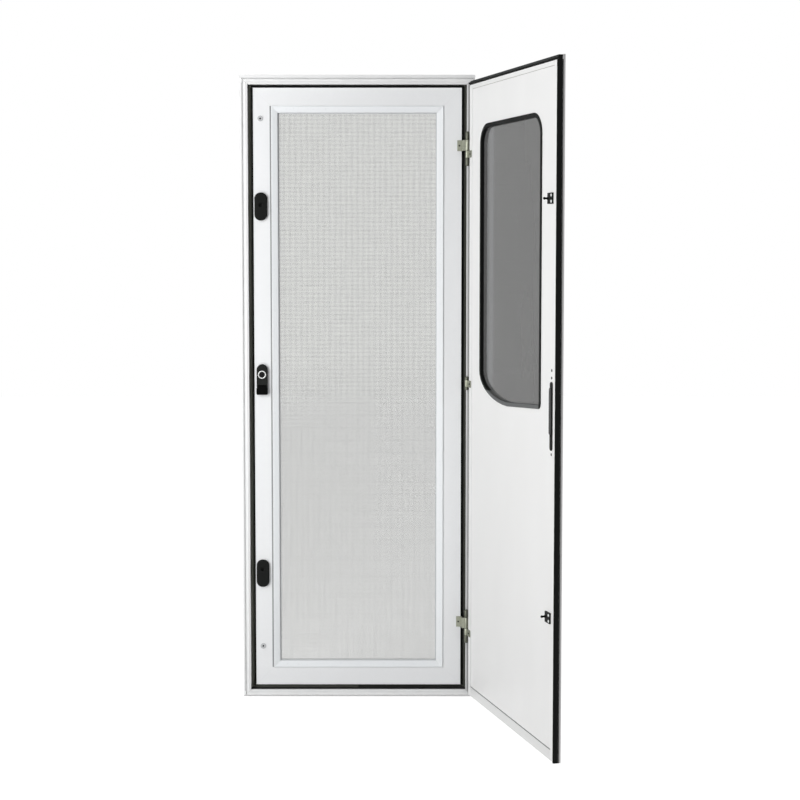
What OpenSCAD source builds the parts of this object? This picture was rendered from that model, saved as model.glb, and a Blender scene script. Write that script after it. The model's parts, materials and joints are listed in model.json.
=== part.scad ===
// Caravan entry door: a flanged surround, an inner screen door and an outer leaf on common hinge pins.
// Y = 0 is the outside of the caravan's wall, -Y is outdoors, +X is the hinge side.
// The origin is the centre of the sill flange's back face.

/* [Surround] */
// Overall width of the surround
frame_w = 662; // [600:1:760]
// Overall height of the surround
frame_h = 1773; // [1600:1:2000]
// Width of the flange that lies on the wall
flange_w = 20; // [20:0.5:30]
// Thickness of the flange where the screws pass
flange_t = 3; // [2:0.5:4]
// How far the flange's ribs stand off the wall
rib_h = 13; // [11:0.5:15]
// Width of the lip at the opening
lip_w = 5.5; // [4:0.5:7]
// Width of the flange's outer rib
outer_rib_w = 7.5; // [7:0.5:9]
// Thickness of the leg that lines the wall's cut-out
leg_t = 2; // [1.5:0.5:3]
// How deep the surround reaches into the wall
leg_depth = 26; // [26:1:45]
// Width of the stop behind the screen door
stop_w = 18; // [16:0.5:26]

/* [Fixing holes] */
// Radius of the fixing holes
fixing_r = 2.25; // [1.5:0.25:3]
// Distance of the first jamb holes from the middle of the surround
fixing_first = 160; // [100:10:200]
// Distance of the last jamb holes from the ends of the surround
fixing_from_end = 106.5; // [60:0.5:150]
// Distance of the head and sill holes from the middle of the surround
fixing_x = 160; // [100:10:250]

/* [Rain strip] */
// How far the rain strip reaches out from the wall
strip_reach = 20; // [18:1:24]
// Thickness of the rain strip above the surround
strip_t = 3; // [2:0.5:4]
// Thickness of the nose at its front
nose_t = 2; // [1.5:0.5:3]
// How far the nose hangs below the top of the surround
nose_drop = 5.5; // [4:0.5:7]

/* [Screen door] */
// Gap between the surround's opening and the screen door at the sides
screen_side_gap = 14.5; // [12:0.5:15]
// Gap between the head and the screen door
screen_top_gap = 8.7; // [5:0.1:15]
// Gap between the sill and the screen door
screen_bottom_gap = 11.3; // [5:0.1:15]
// Thickness of the screen door
screen_t = 20; // [16:1:24]
// Width of the stiles and rails
stile_w = 70; // [60:1:90]
// Wall thickness of the stiles and rails
stile_wall = 2; // [1.5:0.5:3]
// Width of the raised bead round the mesh
bead_w = 19; // [14:1:24]
// How far the bead stands off the stile
bead_h = 3; // [2:0.5:4]
// Width of the groove along the bead's outer edge
bead_groove_w = 1.5; // [1:0.5:3]
// Depth of the groove along the bead's outer edge
bead_groove_d = 1; // [0.5:0.1:1.2]
// Width of the spline that holds the mesh
spline_w = 2.4; // [2:0.2:5]
// Thickness of the mesh sheet
mesh_t = 1; // [0.8:0.1:2]
// Number of openings across the mesh sheet, which stand for its fine weave
mesh_columns = 10; // [6:1:12]
// Width of the bars between the openings
mesh_bar = 3; // [2:0.5:5]
// Radius of the caps on the lock stile
cap_r = 8; // [6:0.5:10]
// Distance of the caps from the screen door's free edge
cap_from_edge = 20.5; // [15:0.5:30]
// Distance of the upper cap from the top of the screen door
upper_cap_drop = 86; // [60:1:150]
// Distance of the lower cap from the bottom of the screen door
lower_cap_rise = 113; // [60:1:150]

/* [Leaf] */
// Opening angle of the leaf as shown
leaf_open = 107.5; // [0:0.5:130]
// Gap between the surround's lip and the leaf's inner face, when shut
leaf_gap = 5; // [4.5:0.5:8]
// Thickness of the leaf without its outer skin
leaf_t = 15; // [15:1:30]
// Thickness of each skin
skin_t = 1.5; // [1:0.1:2]
// How far the leaf's outer skin stays inside the surround's outer edge at the free side
leaf_free_inset = 2; // [1:0.5:4]
// How far the leaf's outer skin stays below the top of the surround
leaf_top_inset = 15; // [12:0.5:16]
// How far the leaf's outer skin stays above the bottom of the surround
leaf_bottom_inset = 13; // [1:0.5:16]
// Distance from the hinge pin to the leaf's hinge edge
leaf_hinge_gap = 13; // [12:0.5:18]
// Width of the seal's rebate at the free side
rebate_w = 8; // [7:0.5:12]
// Width of the seal's rebate at the top
top_rebate_w = 12; // [8:0.5:14]
// Thickness of the rebate's floor
rebate_floor = 5; // [4:0.5:8]
// How far the seal stands off the leaf's inner face
seal_proud = 3.5; // [2.5:0.5:4]
// Width of the upright profiles on the inner face
edge_w = 20; // [16:1:26]
// Width of the top profile on the inner face
top_edge_w = 11; // [8:1:26]
// Width of the bottom profile on the inner face
bottom_edge_w = 26; // [20:1:40]
// Width of the groove between the profiles and the inner skin
skin_gap = 2; // [1:0.5:3]

/* [Window] */
// Distance from the leaf's hinge edge to the window's trim
window_from_hinge = 88; // [60:1:120]
// Distance from the leaf's free edge to the window's trim
window_from_free = 101; // [95:1:140]
// Distance from the leaf's top edge to the window's trim
window_from_top = 128; // [80:1:200]
// Distance from the leaf's bottom edge to the window's trim
window_from_bottom = 860; // [700:1:930]
// Radius of the upper corners
window_top_r = 56; // [30:1:80]
// Width of the curve at the lower corner near the hinges
window_curve_w = 210; // [60:1:240]
// Height of the curve at the lower corner near the hinges
window_curve_h = 81; // [60:1:120]
// Radius of the lower corner near the free edge
window_low_r = 16; // [15:1:60]
// How far that corner lies above the lowest point of the window
window_low_rise = 14; // [0:1:20]
// Width of the trim round the glass
trim_w = 10; // [8:0.5:16]
// How far the trims stand off the skins
trim_h = 2; // [1.5:0.5:4]
// Thickness of the glass
glass_t = 4; // [3:0.5:5]

/* [Hinges] */
// Radius of the hinge pins
pin_r = 3; // [2.5:0.25:3.5]
// Outer radius of the knuckles
knuckle_r = 5.5; // [5:0.25:6]
// Running clearance of the knuckles round the pin
pin_clearance = 0.05; // [0.02:0.01:0.08]
// Distance of the pin in front of the surround's lip
pin_forward = 3; // [2:0.5:4]
// How far the pin lies outside the edge of the opening
pin_outset = 1; // [0.5:0.5:2]
// Height of a pin's head
pin_head_h = 1.5; // [1:0.5:3]
// Distance of the upper hinge's middle from the top of the surround
upper_hinge_drop = 203; // [120:1:400]
// Height of the middle hinge's middle
middle_hinge_z = 898; // [700:1:1000]
// Height of the lower hinge's middle
lower_hinge_z = 198; // [150:1:400]
// Height of a hinge over all its knuckles
hinge_h = 94; // [80:1:120]
// Height of the screen door's knuckle
screen_knuckle_h = 31; // [20:1:36]
// Height of the leaf's knuckle
leaf_knuckle_h = 20; // [12:1:26]
// Thickness of the hinge plates
plate_t = 2.5; // [2:0.5:3]
// Length of a screen door plate's foot on the stile
plate_foot_l = 12.5; // [11:0.5:16]
// Gap between the screen door's edge and the plate's leg
plate_leg_gap = 2.5; // [1.5:0.5:3]
// Length of a leaf tab's foot on the leaf
tab_foot_l = 17; // [14:1:20]

/* [Catches] */
// Distance of catches from the screen door's free edge
catch_from_edge = 20.9; // [19:0.1:30]
// Distance of the upper catch's hole from the top of the surround
upper_catch_drop = 360; // [200:1:500]
// Height of the lower catch's hole
lower_catch_z = 362; // [200:1:500]
// How far the upper hole lies above the middle of its socket
upper_hole_rise = 4; // [0:0.5:16]
// How far the lower hole lies above the middle of its socket
lower_hole_rise = 13; // [0:0.5:16]
// Radius of the ball on a catch pin
ball_r = 3.4; // [3:0.1:3.8]
// Radius of a catch socket's hole
socket_hole_r = 5.2; // [4.8:0.1:6]
// Width of a catch socket
socket_w = 36; // [28:1:36]
// Height of a catch socket
socket_h = 79; // [60:1:90]
// How far a catch socket stands off the screen door
socket_proud = 9; // [7:0.5:10]
// Width of a catch block on the leaf
block_w = 30; // [24:1:32]
// Length of a catch block
block_l = 27; // [20:1:40]
// Thickness of a catch block
block_h = 4; // [3:0.5:5]

/* [Screen door lock] */
// Height of the lock's middle
lock_z = 908; // [800:1:1000]
// Height of the lock
lock_h = 87; // [75:1:100]
// Width of the lock
lock_w = 31; // [26:1:32]
// Distance of the lock from the screen door's free edge
lock_from_edge = 6.5; // [5:0.5:12]
// How far the lock stands off the screen door
lock_proud = 8; // [6:0.5:8]
// Radius of the key barrel
barrel_r = 8; // [6:0.5:9]
// Height of the key barrel above the lock's middle
barrel_rise = 14; // [10:1:18]
// Angle of the key barrel as shown
barrel_turn = 0; // [0:5:90]
// Height of the lever
lever_h = 28; // [22:1:32]
// How far the lever stands off the lock
lever_proud = 1.5; // [1:0.5:2]
// How far the lever's grip reaches past the lock at each side
lever_over = 0.8; // [0:0.2:1.2]
// Radius of the lever's lower corners
lever_corner_r = 5; // [3:0.5:8]

/* [Release on the leaf] */
// Height of the release's middle
release_z = 867; // [800:1:950]
// Length of the release's plate
release_l = 171; // [150:1:200]
// Width of the release's plate
release_w = 15; // [13:0.5:17]
// Thickness of the release's plate
release_t = 2.5; // [2:0.5:3]
// Distance of the release from the edge of the opening
release_from_opening = 5; // [4.5:0.5:6]
// Length of the slider
slider_l = 116; // [90:1:130]
// Thickness of the slider
slider_t = 2.7; // [2:0.1:3]
// Distance of the slider's upper end from the plate's
slider_from_top = 15; // [12:1:25]
// Travel of the slider
release_travel = 16; // [10:1:20]

/* [Outer handle] */
// Width of the handle's plate
handle_w = 56; // [52:1:60]
// Height of the handle's plate
handle_h = 150; // [120:1:170]
// Radius of the plate's corners
handle_r = 12; // [10:1:16]
// Thickness of the plate, which stands off the outer skin
handle_t = 3; // [2.5:0.5:4]
// Width of the plate's rim round the tub
handle_rim = 5; // [4:0.5:7]
// Depth of the tub behind the outer skin
tub_depth = 11; // [9:0.5:12]
// Wall thickness of the tub
tub_wall = 1.5; // [1.2:0.1:2]
// Width of the paddle
paddle_w = 20; // [16:1:22]
// Thickness of the paddle
paddle_t = 3; // [2.5:0.5:4]

/* [Hidden] */
$fn = 48;
fit = 0.3;
mitre_gap = 0.15;
mitre_cut = 2 * (leg_depth + rib_h);

// Surround
zb = -flange_w / 2;
zt = zb + frame_h;
zc = (zb + zt) / 2;
opening_w = frame_w - 2 * (flange_w + leg_t);
opening_zb = zb + flange_w + leg_t;
opening_zt = zt - flange_w - leg_t;
bevel_w = outer_rib_w - 1.5;
channel_0 = outer_rib_w;
channel_1 = flange_w + leg_t - lip_w;
channel_mid = (channel_0 + channel_1) / 2;
cover_t = 1.5;
cover_sink = 2.5;
frame_reach = flange_w + leg_t + stop_w;
fixing_last = frame_h / 2 - fixing_from_end;
fixing_z = [fixing_first, (fixing_first + fixing_last) / 2, fixing_last];
stop_y = leg_depth - leg_t;
seal_t = 1.6;
bulb_r = 3.1;
bulb_reach = 12;
bulb_y = stop_y - bulb_reach;

// Screen door
screen_seat = 0.4;
screen_y1 = stop_y - seal_t - screen_seat;
screen_y0 = screen_y1 - screen_t;
screen_w = opening_w - 2 * screen_side_gap;
screen_zb = opening_zb + screen_bottom_gap;
screen_zt = opening_zt - screen_top_gap;
screen_h = screen_zt - screen_zb;
screen_zc = (screen_zb + screen_zt) / 2;
mesh_depth = 7;
mesh_y = screen_y0 + mesh_depth;
spline_h = 4;
mesh_hold = 6;
cap_t = 2;
cap_hole_r = 2.5;
cap_hole_d = 1.5;

// Hinge line
pin_x = frame_w / 2 - (flange_w + leg_t) + pin_outset;
pin_y = -rib_h - pin_forward;
pocket_floor = 5;
pocket_depth = pin_forward + pocket_floor;
pocket_clear = 3;
hinges = [zt - upper_hinge_drop, lower_hinge_z];
frame_knuckle_h = (hinge_h - screen_knuckle_h - leaf_knuckle_h) / 2;
knuckle_gap = 0.5;
middle_knuckle_h = 8;
middle_h = leaf_knuckle_h + 2 * middle_knuckle_h;

// Leaf, shut
leaf_y1 = -rib_h - leaf_gap;
leaf_y0 = leaf_y1 - leaf_t;
leaf_x0 = -frame_w / 2 + leaf_free_inset;
leaf_x1 = pin_x - leaf_hinge_gap;
hinge_rebate = 2;
leaf_zb = zb + leaf_bottom_inset;
leaf_zt = zt - leaf_top_inset;
floor_y = leaf_y0 + rebate_floor;
box_x0 = leaf_x0 + rebate_w;
box_zt = leaf_zt - top_rebate_w;
profile_wall = 2;
seal_inset = 1;
seal_lip = 4;
panel_x0 = box_x0 + edge_w;
panel_x1 = leaf_x1 - edge_w;
panel_zb = leaf_zb + bottom_edge_w;
panel_zt = box_zt - top_edge_w;
skin_y0 = leaf_y0 - skin_t;
window_x0 = leaf_x0 + window_from_free;
window_x1 = leaf_x1 - window_from_hinge;
window_zb = leaf_zb + window_from_bottom;
window_zt = leaf_zt - window_from_top;
hole_inset = trim_w - 4;
outer_trim_over = 4;
glass_depth = 7;
glass_y = leaf_y1 - glass_depth - glass_t;

// Catches
stile_edge_x = -screen_w / 2;
catch_x = stile_edge_x + catch_from_edge;
upper_catch_z = zt - upper_catch_drop;
socket_y0 = screen_y0 - socket_proud;
socket_rim = 3;
socket_step = 2;
pin_seat = 1;
boss_r = 3.5;
boss_h = block_h + 2;
stem_r = 2.5;
block_x1 = catch_x + boss_r;
catch_reach = 5.5;
ball_tip_y = socket_y0 + catch_reach;

// Screen door lock
lock_x = stile_edge_x + lock_from_edge + lock_w / 2;
lock_y0 = screen_y0 - lock_proud;
lock_back = 2;
barrel_z = lock_z + barrel_rise;
ring_t = 2;
ring_w = 3;
ring_gap = 0.5;
lever_z1 = lock_z - lock_h / 2 + lever_h;
lever_eye_r = 2.8;
lever_gap = 1.5;
ear_t = 2.5;
ear_drop = 4;
ear_pin_l = 3.5;
lever_pin_r = 1.5;
lever_pin_y = lock_y0 + 3;
lever_pin_z = lever_z1 - lever_eye_r - lever_gap;

// Release and outer handle
release_x = -opening_w / 2 + release_from_opening + release_w / 2;
slot_w = 6;
slot_floor = 1;
stem_inset = 10;
slider_side = 1.5;
slider_z1 = release_z + release_l / 2 - slider_from_top;
handle_x = panel_x0 + fit + handle_w / 2 - handle_rim + 2;
tub_y = skin_y0 + tub_depth;
paddle_in = 4;
paddle_pin_r = 2.5;
paddle_end_gap = 3;

// A box from its low corner to its high corner
module block(low, high) {
    translate(low) cube(high - low);
}

// A cylinder along Y from y0 to y1
module rod_y(x, z, r, y0, y1) {
    translate([x, y1, z]) rotate([90, 0, 0]) cylinder(r = r, h = y1 - y0);
}

// A plate in the XZ plane between y0 and y1, from a 2D outline drawn as x, z
module plate_y(y0, y1) {
    translate([0, y1, 0]) rotate([90, 0, 0]) linear_extrude(y1 - y0) children();
}

// A slot-shaped outline, round at both ends, about the origin
module stadium(w, l) {
    square([w, l - w], center = true);
    translate([0, l / 2 - w / 2]) circle(d = w);
    translate([0, w / 2 - l / 2]) circle(d = w);
}

// An oval with straight middle sides and large round ends, about the origin
module rounded_rect(w, l, r) {
    square([w - 2 * r, l], center = true);
    square([w, l - 2 * r], center = true);
    for (sx = [-1, 1], sz = [-1, 1])
        translate([sx * (w / 2 - r), sz * (l / 2 - r)]) circle(r);
}

// A 2D section, drawn as distance inwards and y, extruded along Z with 45 degree ends
module mitred(length, reach, gap = 0) {
    intersection() {
        linear_extrude(length, center = true) children();
        rotate([90, 0, 0]) linear_extrude(mitre_cut, center = true)
            polygon([[0, gap - length / 2], [reach, gap + reach - length / 2],
                [reach, length / 2 - reach - gap], [0, length / 2 - gap]]);
    }
}

// One side of a mitred rectangle that is w wide and h high about [0, z]
module left_side(w, h, z, reach, gap = 0) {
    translate([-w / 2, 0, z]) mitred(h, reach, gap) children();
}

module right_side(w, h, z, reach, gap = 0) {
    mirror([1, 0, 0]) left_side(w, h, z, reach, gap) children();
}

module low_side(w, h, z, reach, gap = 0) {
    translate([0, 0, z - h / 2]) rotate([0, -90, 0]) mitred(w, reach, gap) children();
}

module top_side(w, h, z, reach, gap = 0) {
    translate([0, 0, z + h / 2]) rotate([0, 90, 0]) mitred(w, reach, gap) children();
}

module four_sides(w, h, z, reach) {
    left_side(w, h, z, reach, mitre_gap) children();
    right_side(w, h, z, reach, mitre_gap) children();
    low_side(w, h, z, reach, mitre_gap) children();
    top_side(w, h, z, reach, mitre_gap) children();
}

// Puts the leaf, drawn shut, at its opening angle about the hinge line
module swung() {
    translate([pin_x, pin_y, 0]) rotate([0, 0, leaf_open]) translate([-pin_x, -pin_y, 0]) children();
}

// Section of the surround: bevelled outer rib, screw channel, lip, leg through the wall and stop
module frame_section() {
    lip_1 = flange_w + leg_t;
    polygon([[0, 0], [0, -flange_t], [bevel_w, -rib_h], [channel_0, -rib_h], [channel_0, -flange_t],
        [channel_1, -flange_t], [channel_1, -rib_h], [lip_1, -rib_h], [lip_1, stop_y],
        [frame_reach, stop_y], [frame_reach, leg_depth], [flange_w, leg_depth], [flange_w, 0]]);
}

// Fixing holes through the floor of the channel
module jamb_holes() {
    for (s = [-1, 1], z = fixing_z)
        rod_y(-frame_w / 2 + channel_mid, zc + s * z, fixing_r, -flange_t - 1, 1);
}

module rail_holes(z) {
    for (s = [-1, 1])
        rod_y(s * fixing_x, z, fixing_r, -flange_t - 1, 1);
}

// Room in the lip for the knuckles of one hinge
module hinge_pocket(z, h) {
    block([pin_x - knuckle_r - pocket_clear, -rib_h - 1, z - h / 2 - 1],
        [frame_w / 2 - flange_w + lip_w - leg_t, pocket_depth - rib_h - pin_forward, z + h / 2 + 1]);
}

module frame_left_jamb() {
    color("white") difference() {
        left_side(frame_w, frame_h, zc, frame_reach) frame_section();
        jamb_holes();
    }
}

module frame_right_jamb() {
    color("white") difference() {
        right_side(frame_w, frame_h, zc, frame_reach) frame_section();
        mirror([1, 0, 0]) jamb_holes();
        for (z = hinges) hinge_pocket(z, hinge_h);
        hinge_pocket(middle_hinge_z, middle_h);
    }
}

module frame_head() {
    color("white") difference() {
        top_side(frame_w, frame_h, zc, frame_reach) frame_section();
        rail_holes(zt - channel_mid);
    }
}

module frame_sill() {
    color("white") difference() {
        low_side(frame_w, frame_h, zc, frame_reach) frame_section();
        rail_holes(zb + channel_mid);
    }
}

// Rain strip on top of the head, with a turned-down nose
module head_drip_strip() {
    color("white") difference() {
        block([-frame_w / 2, -strip_reach, zt - nose_drop], [frame_w / 2, 0, zt + strip_t]);
        block([-frame_w / 2 - 1, -strip_reach + nose_t, zt - nose_drop - 1], [frame_w / 2 + 1, 1, zt]);
    }
}

// Snap-in cover over the fixing screws: a cap on two legs
module cover_section() {
    x0 = channel_0 + fit;
    x1 = channel_1 - fit;
    y0 = -rib_h + cover_sink;
    translate([x0, y0]) square([x1 - x0, cover_t]);
    for (x = [x0, x1 - 1])
        translate([x, y0]) square([1, -flange_t - fit - y0]);
}

module fixing_covers() {
    color("white") four_sides(frame_w, frame_h, zc, frame_reach) cover_section();
}

// Rubber on the stop, with a bulb against the leg
module seal_section() {
    x0 = flange_w + leg_t;
    translate([x0, stop_y - seal_t]) square([stop_w - 0.5, seal_t]);
    translate([x0, bulb_y]) square([2 * bulb_r, stop_y - bulb_y]);
    translate([x0 + bulb_r, bulb_y]) circle(bulb_r);
}

module frame_seal() {
    color([0.1, 0.1, 0.1]) four_sides(frame_w, frame_h, zc, frame_reach) seal_section();
}

// A knuckle round the hinge line
module knuckle(z0, z1, bore) {
    translate([pin_x, pin_y, z0]) difference() {
        union() {
            cylinder(r = knuckle_r, h = z1 - z0);
            children();
        }
        translate([0, 0, -1]) cylinder(r = bore, h = z1 - z0 + 2);
    }
}

// A knuckle with a foot on the floor of its pocket
module footed_knuckle(z0, z1) {
    foot_x = frame_w / 2 - (flange_w + leg_t) - pin_x;
    knuckle(z0, z1, pin_r + pin_clearance)
        block([foot_x, 0, 0], [foot_x + lip_w - fit, pocket_depth, z1 - z0]);
}

module frame_knuckles() {
    color([0.66, 0.67, 0.6]) {
        for (z = hinges) {
            footed_knuckle(z + hinge_h / 2 - frame_knuckle_h, z + hinge_h / 2);
            footed_knuckle(z - hinge_h / 2, z - hinge_h / 2 + frame_knuckle_h);
        }
        footed_knuckle(middle_hinge_z + leaf_knuckle_h / 2, middle_hinge_z + middle_h / 2);
        footed_knuckle(middle_hinge_z - middle_h / 2, middle_hinge_z - leaf_knuckle_h / 2);
    }
}

// A pin with a domed head on top
module hinge_pin(z, h) {
    translate([pin_x, pin_y, z - h / 2]) {
        cylinder(r = pin_r, h = h);
        translate([0, 0, h]) cylinder(r1 = knuckle_r - 1, r2 = pin_r, h = pin_head_h);
    }
}

module hinge_pins() {
    color([0.6, 0.6, 0.56]) {
        for (z = hinges) hinge_pin(z, hinge_h);
        hinge_pin(middle_hinge_z, middle_h);
    }
}

// Hollow box section of the screen door, with a slot for the mesh and a groove beside the bead
module screen_section() {
    difference() {
        translate([0, screen_y0]) square([stile_w, screen_t]);
        translate([stile_wall, screen_y0 + stile_wall])
            square([stile_w - mesh_hold - 3 * stile_wall, screen_t - 2 * stile_wall]);
        translate([stile_w - mesh_hold, mesh_y - fit]) square([mesh_hold + 1, mesh_t + 2 * fit]);
        translate([stile_w - bead_w - bead_groove_w, screen_y0 - 1])
            square([bead_groove_w, bead_groove_d + 1]);
    }
}

module screen_left_stile() {
    color("white") left_side(screen_w, screen_h, screen_zc, stile_w) screen_section();
}

module screen_right_stile() {
    color("white") right_side(screen_w, screen_h, screen_zc, stile_w) screen_section();
}

module screen_top_rail() {
    color("white") top_side(screen_w, screen_h, screen_zc, stile_w) screen_section();
}

module screen_bottom_rail() {
    color("white") low_side(screen_w, screen_h, screen_zc, stile_w) screen_section();
}

// Raised bead on the inner part of the stiles and rails, half round at its top edges
module bead_section() {
    r = bead_h - 1;
    x0 = stile_w - bead_w;
    translate([x0, screen_y0 - 1]) square([bead_w, 1]);
    translate([x0 + r, screen_y0 - bead_h]) square([bead_w - 2 * r, bead_h - 1]);
    for (x = [x0 + r, x0 + bead_w - r])
        translate([x, screen_y0 - 1]) intersection() {
            circle(r);
            translate([-r, -r]) square([2 * r, r]);
        }
}

module screen_bead() {
    color("white") four_sides(screen_w, screen_h, screen_zc, stile_w) bead_section();
}

// Spline that grips the mesh, just inside the bead
module spline_section() {
    translate([stile_w, mesh_y - spline_h]) square([spline_w, spline_h - fit]);
}

module mesh_spline() {
    color([0.5, 0.5, 0.5]) four_sides(screen_w, screen_h, screen_zc, stile_w + spline_w)
        spline_section();
}

// Mesh sheet: its border runs into the slots of the stiles and rails
module screen_mesh() {
    hold = stile_w - mesh_hold + fit;
    seen = stile_w + spline_w;
    pitch_x = (screen_w - 2 * seen + mesh_bar) / mesh_columns;
    rows = round((screen_h - 2 * seen + mesh_bar) / pitch_x);
    pitch_z = (screen_h - 2 * seen + mesh_bar) / rows;
    color([0.8, 0.8, 0.78]) plate_y(mesh_y, mesh_y + mesh_t) translate([-screen_w / 2, screen_zb])
        difference() {
            translate([hold, hold]) square([screen_w - 2 * hold, screen_h - 2 * hold]);
            for (i = [0:mesh_columns - 1], j = [0:rows - 1])
                translate([seen + i * pitch_x, seen + j * pitch_z])
                    square([pitch_x - mesh_bar, pitch_z - mesh_bar]);
        }
}

// Cranked plate: a foot on the stile, a leg forward and an arm to the knuckle
module screen_hinge_plate(z) {
    z0 = z + hinge_h / 2 - frame_knuckle_h - screen_knuckle_h + knuckle_gap;
    z1 = z + hinge_h / 2 - frame_knuckle_h - knuckle_gap;
    edge = screen_w / 2 - pin_x;
    face = screen_y0 - pin_y;
    leg = edge + plate_leg_gap;
    knuckle(z0, z1, pin_r + pin_clearance) {
        block([edge - plate_foot_l, face - plate_t, 0], [leg + plate_t, face, z1 - z0]);
        block([leg, -1, 0], [leg + plate_t, face, z1 - z0]);
        block([leg, -1, 0], [0, plate_t - 1, z1 - z0]);
    }
}

module screen_hinge_plates() {
    color([0.66, 0.67, 0.6]) for (z = hinges) screen_hinge_plate(z);
}

// Oval socket with a stepped rim and a hole for the ball, which lies above its middle
module catch_socket(z, rise) {
    difference() {
        translate([catch_x, 0, z - rise]) {
            plate_y(socket_y0 + socket_rim, screen_y0)
                rounded_rect(socket_w, socket_h, socket_w / 2 - 1);
            plate_y(socket_y0, socket_y0 + socket_rim)
                rounded_rect(socket_w - 2 * socket_step, socket_h - 2 * socket_step,
                    socket_w / 2 - 1 - socket_step);
        }
        rod_y(catch_x, z, socket_hole_r, socket_y0 - 1, screen_y0 - 1.5);
    }
}

module catch_sockets() {
    color([0.12, 0.12, 0.12]) {
        catch_socket(upper_catch_z, upper_hole_rise);
        catch_socket(lower_catch_z, lower_hole_rise);
    }
}

// Lock case with a round top, a bore for the key barrel and a pocket for the lever
module lock_body() {
    z0 = lock_z - lock_h / 2;
    z1 = lock_z + lock_h / 2;
    color([0.15, 0.15, 0.15]) {
        difference() {
            plate_y(lock_y0, screen_y0) translate([lock_x, 0]) {
                translate([-lock_w / 2, z0]) square([lock_w, lock_h - lock_w / 2]);
                translate([0, z1 - lock_w / 2]) circle(d = lock_w);
            }
            rod_y(lock_x, barrel_z, barrel_r + pin_clearance, lock_y0 - 1, screen_y0 - lock_back);
            block([lock_x - lock_w / 2 - 1, lock_y0 - 1, z0 - 1],
                [lock_x + lock_w / 2 + 1, lever_pin_y + 3, lever_z1]);
        }
        for (s = [-1, 1])
            lever_ear(s);
    }
}

// Ear at each side of the lever, with half of its pivot pin
module lever_ear(s) {
    x_out = lock_x + s * lock_w / 2;
    x_in = lock_x + s * (lock_w / 2 - ear_t);
    x_tip = x_in - s * ear_pin_l;
    block([min(x_out, x_in), lock_y0, lever_pin_z - ear_drop], [max(x_out, x_in), lever_pin_y + 3, lever_z1]);
    translate([min(x_in, x_tip) - 0.01, lever_pin_y, lever_pin_z]) rotate([0, 90, 0])
        cylinder(r = lever_pin_r, h = ear_pin_l + 0.02);
}

module lock_ring() {
    color([0.8, 0.8, 0.8]) difference() {
        rod_y(lock_x, barrel_z, barrel_r + ring_gap + ring_w, lock_y0 - ring_t, lock_y0);
        rod_y(lock_x, barrel_z, barrel_r + ring_gap, lock_y0 - ring_t - 1, lock_y0 + 1);
    }
}

// Barrel that turns with the key, with its keyway
module key_barrel() {
    keyway = [1.6, 10, 4];
    color([0.7, 0.7, 0.7]) difference() {
        rod_y(lock_x, barrel_z, barrel_r, lock_y0 - ring_t + ring_gap, screen_y0 - lock_back - fit);
        translate([lock_x, lock_y0, barrel_z]) rotate([90, -barrel_turn, 0]) cube(keyway, center = true);
    }
}

// Grip of the lever: a plate with round lower corners
module lever_grip(w, h, r) {
    translate([-w / 2, r]) square([w, h - r]);
    translate([r - w / 2, 0]) square([w - 2 * r, r]);
    for (s = [-1, 1])
        translate([s * (w / 2 - r), r]) circle(r);
}

// Lever that hangs on the pivot pins and is pulled forward at its lower end
module lock_lever() {
    z0 = lock_z - lock_h / 2;
    side = lock_w / 2 - ear_t - fit;
    y0 = lock_y0 - lever_proud;
    grip_h = lever_pin_z - ear_drop - 1 - z0;
    color([0.08, 0.08, 0.08]) difference() {
        union() {
            translate([lock_x - side, lever_pin_y, lever_pin_z]) rotate([0, 90, 0])
                cylinder(r = lever_eye_r, h = 2 * side);
            block([lock_x - side, y0, z0 + lever_corner_r], [lock_x + side, lever_pin_y, lever_pin_z]);
            plate_y(y0, lever_pin_y) translate([lock_x, z0])
                lever_grip(lock_w + 2 * lever_over, grip_h, lever_corner_r);
        }
        translate([lock_x - side - 1, lever_pin_y, lever_pin_z]) rotate([0, 90, 0])
            cylinder(r = lever_pin_r + pin_clearance, h = 2 * side + 2);
    }
}

module screen_caps() {
    cap_x = stile_edge_x + cap_from_edge;
    color([0.85, 0.85, 0.85]) for (z = [screen_zt - upper_cap_drop, screen_zb + lower_cap_rise])
        difference() {
            rod_y(cap_x, z, cap_r, screen_y0 - cap_t, screen_y0);
            rod_y(cap_x, z, cap_hole_r, screen_y0 - cap_t - 1, screen_y0 - cap_t + cap_hole_d);
        }
}

// Leaf edge profile: rebate floor and a hollow box up to the inner face
module edge_section(rebate, width) {
    difference() {
        union() {
            translate([0, leaf_y0]) square([rebate + width, rebate_floor]);
            translate([rebate, leaf_y0]) square([width, leaf_t]);
        }
        translate([rebate + profile_wall, leaf_y0 + profile_wall])
            square([width - 2 * profile_wall, leaf_t - 2 * profile_wall]);
    }
}

// Waste outside the leaf's round corner at the top of its hinge side
module corner_waste() {
    r = top_rebate_w;
    translate([0, leaf_y1 + seal_proud + 1, 0]) rotate([90, 0, 0])
        linear_extrude(leaf_t + skin_t + seal_proud + 2)
            translate([leaf_x1 + hinge_rebate - r, leaf_zt - r]) difference() {
                square(r + 1);
                circle(r);
            }
}

// The leaf's long edges run its full height, and the top and bottom edges lie between them
module leaf_free_edge() {
    color("white") swung() translate([leaf_x0, 0, leaf_zb])
        linear_extrude(box_zt - leaf_zb) edge_section(rebate_w, edge_w);
}

module leaf_hinge_edge() {
    color("white") swung() translate([leaf_x1 + hinge_rebate, 0, leaf_zb])
        mirror([1, 0, 0]) linear_extrude(box_zt - leaf_zb) edge_section(hinge_rebate, edge_w);
}

module leaf_top_edge() {
    color("white") swung() {
        difference() {
            block([leaf_x0, leaf_y0, box_zt], [leaf_x1 + hinge_rebate, floor_y, leaf_zt]);
            corner_waste();
        }
        translate([panel_x0, 0, 0]) cross_edge(panel_zt, top_edge_w);
    }
}

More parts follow.
